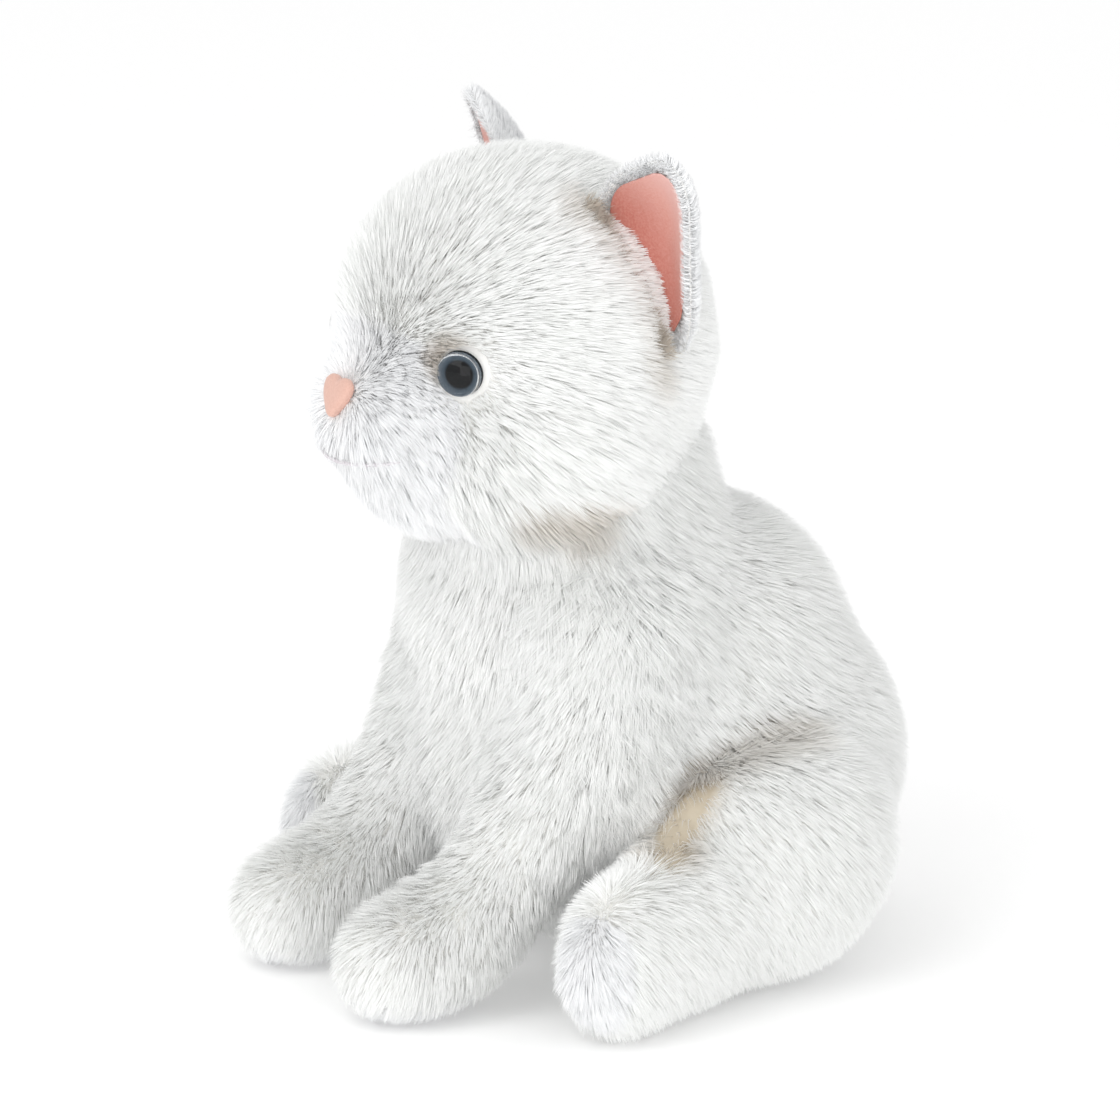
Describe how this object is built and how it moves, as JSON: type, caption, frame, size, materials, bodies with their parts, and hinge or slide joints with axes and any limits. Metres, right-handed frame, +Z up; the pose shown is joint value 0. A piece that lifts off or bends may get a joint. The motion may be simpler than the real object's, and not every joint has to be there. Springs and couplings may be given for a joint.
{
  "type": "plush cat",
  "caption": "Seated white plush cat with long-pile body, short-pile muzzle and soles, pink-lined ears, glassy eyes and soft joints at neck, ears, legs and tail.",
  "frame": {"origin": "on the floor at the middle of the flat seat under the rump", "axes": "+Z up, the cat faces -Y, +X is the cat's left"},
  "size_m": [0.2028, 0.2167, 0.263],
  "materials": {
    "long_pile_fur": "warm white long-pile plush, brushed",
    "short_pile_fur": "cool white short-pile plush",
    "ear_velour": "salmon pink velour",
    "nose_velour": "peach pink velour",
    "mouth_thread": "mauve grey embroidery thread",
    "polyester_stuffing": "loose white polyester fibre",
    "pouch_cloth": "plain woven cotton bag of plastic pellets",
    "eye_clear": "clear polished acrylic",
    "eye_painted": "back-painted blue grey iris with a black pupil",
    "eye_nylon": "natural nylon"
  },
  "bodies": {
    "torso": {"belly_panel": "long_pile_fur", "torso_side_left": "long_pile_fur", "torso_side_right": "long_pile_fur", "torso_stuffing": "polyester_stuffing", "pellet_pouch": "pouch_cloth"},
    "neck": {"neck_stuffing": "polyester_stuffing"},
    "head": {"head_gusset": "long_pile_fur", "head_side_left": "long_pile_fur", "head_side_right": "long_pile_fur", "muzzle_panel": "short_pile_fur", "head_stuffing": "polyester_stuffing", "nose_pad": "nose_velour", "mouth_thread": "mouth_thread", "eye_dome_left": "eye_clear", "eye_dome_right": "eye_clear", "eye_stem_left": "eye_painted", "eye_stem_right": "eye_painted", "eye_washer_left": "eye_nylon", "eye_washer_right": "eye_nylon"},
    "ear_left": {"ear_back_left": "short_pile_fur", "ear_lining_left": "ear_velour"},
    "ear_right": {"ear_back_right": "short_pile_fur", "ear_lining_right": "ear_velour"},
    "front_leg_left": {"front_leg_skin_left": "long_pile_fur", "front_paw_sole_left": "short_pile_fur", "front_leg_stuffing_left": "polyester_stuffing"},
    "front_leg_right": {"front_leg_skin_right": "long_pile_fur", "front_paw_sole_right": "short_pile_fur", "front_leg_stuffing_right": "polyester_stuffing"},
    "hind_leg_left": {"hind_leg_skin_left": "long_pile_fur", "hind_paw_sole_left": "short_pile_fur", "hind_leg_stuffing_left": "polyester_stuffing"},
    "hind_leg_right": {"hind_leg_skin_right": "long_pile_fur", "hind_paw_sole_right": "short_pile_fur", "hind_leg_stuffing_right": "polyester_stuffing"},
    "tail": {"tail_skin": "long_pile_fur", "tail_stuffing": "polyester_stuffing"}
  },
  "joints": [
    {"name": "neck_turn", "type": "hinge", "parent": "torso", "child": "neck", "pos_m": [0, -0.05, 0.152], "axis": [0, 0, 1], "range_deg": [-20, 20], "stiffness_Nm_per_rad": 0.6},
    {"name": "head_nod", "type": "hinge", "parent": "neck", "child": "head", "pos_m": [0, -0.05, 0.152], "axis": [1, 0, 0], "range_deg": [-10, 10], "stiffness_Nm_per_rad": 1},
    {"name": "ear_fold_left", "type": "hinge", "parent": "head", "child": "ear_left", "pos_m": [0.03168, -0.04837, 0.24693], "axis": [0.3857, 0.3009, -0.8722], "range_deg": [-15, 15], "stiffness_Nm_per_rad": 0.02},
    {"name": "ear_fold_right", "type": "hinge", "parent": "head", "child": "ear_right", "pos_m": [-0.03168, -0.04837, 0.24693], "axis": [0.3857, -0.3009, 0.8722], "range_deg": [-15, 15], "stiffness_Nm_per_rad": 0.02},
    {"name": "front_leg_swing_left", "type": "hinge", "parent": "torso", "child": "front_leg_left", "pos_m": [0.033, -0.046, 0.117], "axis": [-1, 0, 0], "range_deg": [-5, 30], "stiffness_Nm_per_rad": 0.15},
    {"name": "front_leg_swing_right", "type": "hinge", "parent": "torso", "child": "front_leg_right", "pos_m": [-0.033, -0.046, 0.117], "axis": [-1, 0, 0], "range_deg": [-5, 30], "stiffness_Nm_per_rad": 0.15},
    {"name": "hind_leg_raise_left", "type": "hinge", "parent": "torso", "child": "hind_leg_left", "pos_m": [0.068, 0, 0.046], "axis": [-1, 0, 0], "range_deg": [-4, 12], "stiffness_Nm_per_rad": 0.15},
    {"name": "hind_leg_raise_right", "type": "hinge", "parent": "torso", "child": "hind_leg_right", "pos_m": [-0.068, 0, 0.046], "axis": [-1, 0, 0], "range_deg": [-4, 12], "stiffness_Nm_per_rad": 0.15},
    {"name": "tail_swing", "type": "hinge", "parent": "torso", "child": "tail", "pos_m": [-0.00307, 0.04389, 0.024], "axis": [0, 0, -1], "range_deg": [-4, 30], "stiffness_Nm_per_rad": 0.03}
  ]
}
